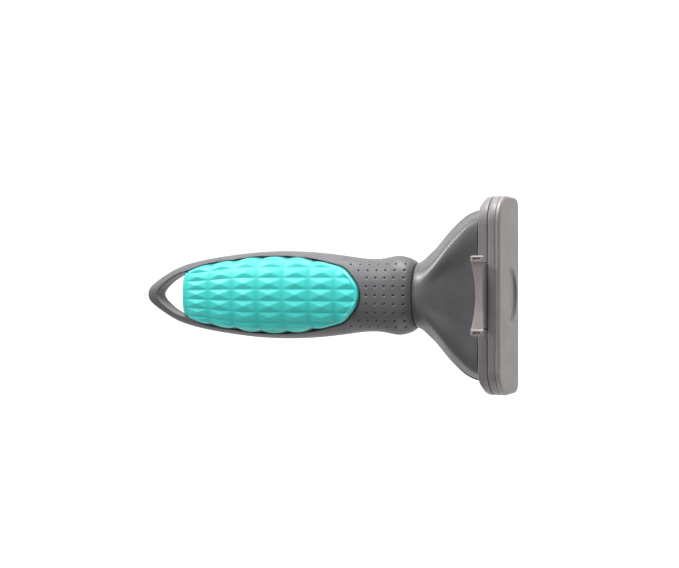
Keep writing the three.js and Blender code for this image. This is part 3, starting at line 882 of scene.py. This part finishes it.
class Value:
    # one socket; arithmetic on it adds Math nodes
    def __init__(self, maker, socket):
        self.maker, self.socket = maker, socket

    def math(self, operation, *others):
        return self.maker.node("ShaderNodeMath", {"operation": operation}, *others)

    def __add__(self, other):
        return self.math("ADD", self, other)

    def __sub__(self, other):
        return self.math("SUBTRACT", self, other)

    def __rsub__(self, other):
        return self.math("SUBTRACT", other, self)

    def __mul__(self, other):
        return self.math("MULTIPLY", self, other)

    __radd__, __rmul__ = __add__, __mul__


class Maker:
    # one material and its node tree
    def __init__(self, name):
        self.material = bpy.data.materials.new(name)
        self.material.use_nodes = True
        self.tree = self.material.node_tree
        self.shader = self.tree.nodes["Principled BSDF"]

    def put(self, socket, value):
        if isinstance(value, Value):
            self.tree.links.new(value.socket, socket)
        else:
            socket.default_value = value

    def node(self, kind, settings=None, *inputs, output=0, **named):
        made = self.tree.nodes.new(kind)
        for key, value in (settings or {}).items():
            if key == "stops":
                ramp = made.color_ramp.elements
                while len(ramp) < len(value):
                    ramp.new(0.5)
                for element, (place, level) in zip(ramp, value):
                    element.position, element.color = place, (level, level, level, 1)
            else:
                setattr(made, key, value)
        for index, value in enumerate(inputs):
            self.put(made.inputs[index], value)
        for key, value in named.items():
            self.put(made.inputs[key], value)
        return Value(self, made.outputs[output])

    def place(self):
        return self.node("ShaderNodeTexCoord", output="Object")

    def noise(self, place, scale, detail=2.0, rough=0.5):
        levels = {"Scale": scale, "Detail": detail, "Roughness": rough}
        return self.node("ShaderNodeTexNoise", None, Vector=place, **levels)

    def ramp(self, value, *stops):
        return self.node("ShaderNodeValToRGB", {"stops": stops}, value)

    def blend(self, factor, first, second):
        made = self.tree.nodes.new("ShaderNodeMix")
        made.data_type = "RGBA"
        for socket, value in zip((made.inputs[0], made.inputs[6], made.inputs[7]), (factor, first, second)):
            self.put(socket, value)
        return Value(self, made.outputs[2])

    def attribute(self, name):
        return self.node("ShaderNodeAttribute", {"attribute_name": name}, output="Fac")

    def wear(self):                          # 1 on raised edges, 0 elsewhere
        raised = self.node("ShaderNodeNewGeometry", output="Pointiness")
        return self.ramp(raised, (0.52, 0), (0.6, 1))

    def bump(self, height, distance, strength=1.0, under=None):
        made = self.tree.nodes.new("ShaderNodeBump")
        self.put(made.inputs["Height"], height)
        made.inputs["Distance"].default_value = distance
        made.inputs["Strength"].default_value = strength
        if under is not None:
            self.put(made.inputs["Normal"], under)
        return Value(self, made.outputs[0])

    def finish(self, **sockets):
        for key, value in sockets.items():
            self.put(self.shader.inputs[key.replace("_", " ")], value)
        return self.material


def rgb(red, green, blue):                   # a screen colour from 0 to 255, made linear
    return tuple(((c / 255 + 0.055) / 1.055) ** 2.4 for c in (red, green, blue)) + (1,)


looks = {                                    # screen colours, grain size, grain depth in metres, roughness
    "frame": {"name": "softGrey", "colours": [(81, 80, 83), (90, 89, 91), (124, 123, 124)],
              "grain": 2400.0, "depth": 0.00003, "rough": 0.5},
    "neck": {"name": "neckGrey", "colours": [(76, 75, 77), (84, 83, 85), (120, 119, 120)],
             "grain": 1800.0, "depth": 0.00003, "rough": 0.37, "shine": 0.5},
    "housing": {"name": "housingGrey", "colours": [(108, 104, 106), (117, 113, 115), (148, 146, 147)],
                "grain": 1700.0, "depth": 0.000018, "rough": 0.42},
    "cover": {"name": "warmBeige", "colours": [(124, 118, 117), (134, 128, 126), (172, 167, 164)],
              "grain": 1500.0, "depth": 0.000015, "rough": 0.4},
    "inner": {"name": "innerGrey", "colours": [(70, 70, 73), (80, 80, 83), (110, 110, 112)],
              "grain": 1600.0, "depth": 0.00003, "rough": 0.55},
}
teal = {
    # painted shade for the valleys between the pyramids
    "valleyShade": (46, 176, 171),
    "skin": (58, 191, 185),
    "cloud": (72, 202, 196),
    "peak": (84, 210, 204),
    # painted shade for the gap round the pad
    "groove": (14, 62, 64),
}
# near-black painted shade for the inside of the grip pits
pitShadeColour = (34, 33, 35)


def plastic(name, colours, grain, depth, rough, worn=0.25, shine=0.4):
    # moulded plastic: fine grain, soft clouds of tone, brighter worn edges, painted shade in the grip pits,
    # scuffed gloss
    m = Maker(name)
    place = m.place()
    fine = m.noise(place, grain, 3.0, 0.6)
    cloud = m.noise(place, 90.0, 3.0, 0.55)
    scuff = m.ramp(m.noise(place, 420.0, 4.0, 0.7), (0.5, 0), (0.72, 1))
    dark, light, edge = (rgb(*c) for c in colours)
    tone = m.blend(m.ramp(cloud, (0.35, 0), (0.65, 1)), dark, light)
    tone = m.blend(fine * 0.18, tone, light)
    tone = m.blend(m.wear() * worn, tone, edge)
    # painted shade: the grip pits darkened towards near black
    tone = m.blend(m.attribute("pit") * 0.75, tone, rgb(*pitShadeColour))
    gloss = fine * 0.14 + scuff * 0.07 + (rough - 0.09)
    bumps = m.bump(cloud, 0.00003, 0.4, m.bump(fine, depth, 0.8))
    return m.finish(Base_Color=tone, Roughness=gloss, Normal=bumps, Specular_IOR_Level=shine)


def rubber(name):
    # teal rubber: painted shade in the valleys and in the gap round the pad, rubbed peaks, satin skin
    m = Maker(name)
    place = m.place()
    fine = m.noise(place, 2600.0, 3.0, 0.6)
    cloud = m.noise(place, 70.0, 3.0, 0.5)
    relief = m.attribute("relief")
    peaks, grooveShades = m.ramp(relief, (0.8, 0), (1.0, 1)), m.ramp(m.attribute("groove"), (0.05, 0), (0.9, 1))
    # painted shade: the pyramids' valleys darker than their slopes
    tone = m.blend(m.ramp(relief, (0.0, 0), (0.35, 1)), rgb(*teal["valleyShade"]), rgb(*teal["skin"]))
    tone = m.blend(m.ramp(cloud, (0.4, 0), (0.6, 1)) * 0.2, tone, rgb(*teal["cloud"]))
    tone = m.blend(peaks * 0.35, tone, rgb(*teal["peak"]))
    # painted shade in the gap round the pad
    tone = m.blend(grooveShades * 0.92, tone, rgb(*teal["groove"]))
    gloss = fine * 0.12 + (0.42 - relief * 0.05)
    return m.finish(Base_Color=tone, Roughness=gloss, Normal=m.bump(fine, 0.000025, 0.7))


def metal(name, tint, along, rough):
    # brushed steel: noise stretched along one axis, over soft clouds of tone
    m = Maker(name)
    drawn = m.node("ShaderNodeMapping", None, Vector=m.place(), Scale=along)
    fine = m.noise(drawn, 900.0, 4.0, 0.65)
    cloud = m.noise(m.place(), 150.0, 2.0, 0.5)
    tone = m.blend(cloud * 0.5 + fine * 0.4, rgb(*tint), rgb(*(min(c + 34, 255) for c in tint)))
    gloss = fine * 0.16 + cloud * 0.08 + rough
    return m.finish(Base_Color=tone, Roughness=gloss, Metallic=1.0, Normal=m.bump(fine, 0.00001, 0.5))


finishes = {label: plastic(**look) for label, look in looks.items()}
finishes["rubber"] = rubber("tealRubber")
finishes["steel"] = metal("brushedSteel", (176, 178, 182), (0.25, 1.0, 0.25), 0.2)
finishes["blade"] = metal("groundSteel", (188, 190, 194), (1.0, 0.06, 1.0), 0.16)
finishes["wire"] = metal("springWire", (150, 152, 156), (1.0, 1.0, 1.0), 0.24)
print("materials made")

buildFrame(finishes["frame"])
print("handle frame built")
buildGrip("gripTop", "grip_pad_top", 1, finishes["rubber"])
buildGrip("gripBottom", "grip_pad_bottom", -1, finishes["rubber"])
print("grip pads built")
buildNeck(finishes["neck"])
print("neck built")
buildHousings(finishes["housing"])
buildGuard(finishes["cover"])
buildButton(finishes["cover"])
print("head built")
buildScrews(finishes["steel"])
buildSprings(finishes["wire"])
print("screws and springs built")

carried = {                                  # nodes that keep their own shape, and their finishes
    "inner": ["handle_core"],
    "blade": ["blade", "ejector_plate", "blade_clamp_bar"],
    "steel": ["neck_tang", "blade_rivet_1", "blade_rivet_2", "blade_rivet_3", "button_screw_1",
              "button_screw_2", "spring_pin_left", "spring_pin_right"],
}
for finishName, names in carried.items():
    for nodeName in names:
        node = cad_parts[nodeName]
        for holder in node.material_slots:
            holder.material = finishes[finishName]
print("nodes finished")

stage = {
    "floor": 3.0,
    "glow": 0.85,
    "camera": (0.182927, 0.004356, 0.427424),
    "tilt": 22.607,                          # from straight down, towards the head's end
    "lens": 59.658,
    "lights": [                              # place, aim, side, power, tint
        ((0.02, 0.82, 0.26), (0.0, 0, 0.01), 0.4, 14.5, (1, 1, 1)),
        ((-0.6, 0.5, 0.38), (0.03, 0, 0.01), 0.22, 6.0, (1, 1, 1)),
        ((0.1, -0.75, 0.3), (0.02, 0, 0.01), 0.5, 3.2, (1, 0.95, 0.93)),
    ],
    "world": 0.22,
    "level": -0.036,                         # the guard, pulled off, stays above the floor
}


def buildStage():
    half = stage["floor"] / 2
    corner = np.array([[-half, -half], [half, -half], [half, half], [-half, half]])
    corner = np.column_stack([corner, np.full(4, stage["level"])])
    mesh = bpy.data.meshes.new("floor")
    mesh.from_pydata(corner.tolist(), [], [(0, 1, 2, 3)])
    floor = bpy.data.objects.new("floor", mesh)
    scene.collection.objects.link(floor)
    m = Maker("paleFloor")
    tone = m.blend(m.noise(m.place(), 30.0), rgb(150, 150, 150), rgb(156, 156, 156))
    white = (1, 1, 1, 1)
    m.finish(Base_Color=tone, Roughness=0.9, Emission_Color=white, Emission_Strength=stage["glow"])
    mesh.materials.append(m.material)
    for index, (place, aim, side, power, tint) in enumerate(stage["lights"]):
        lamp = bpy.data.lights.new(f"lamp{index}", "AREA")
        lamp.size, lamp.energy, lamp.color = side, power, tint
        holder = bpy.data.objects.new(f"lamp{index}", lamp)
        holder.location = place
        holder.rotation_euler = (Vector(aim) - Vector(place)).to_track_quat("-Z", "Y").to_euler()
        scene.collection.objects.link(holder)
    world = bpy.data.worlds.new("studio")
    world.use_nodes = True
    back = world.node_tree.nodes["Background"]
    back.inputs[0].default_value = white

    # the world is seen as white, but lights the tool less
    path = world.node_tree.nodes.new("ShaderNodeLightPath")
    scale = world.node_tree.nodes.new("ShaderNodeMapRange")
    scale.inputs["To Min"].default_value = stage["world"]
    scale.inputs["To Max"].default_value = 1.0
    world.node_tree.links.new(path.outputs["Is Camera Ray"], scale.inputs["Value"])
    world.node_tree.links.new(scale.outputs[0], back.inputs[1])
    scene.world = world
    camera = bpy.data.cameras.new("camera")
    camera.lens, camera.sensor_width = stage["lens"], 36
    camera.clip_start, camera.clip_end = 0.01, 10
    holder = bpy.data.objects.new("camera", camera)
    holder.location = stage["camera"]
    holder.rotation_euler = (0, math.radians(stage["tilt"]), 0)
    scene.collection.objects.link(holder)
    scene.camera = holder


buildStage()
print("stage set")
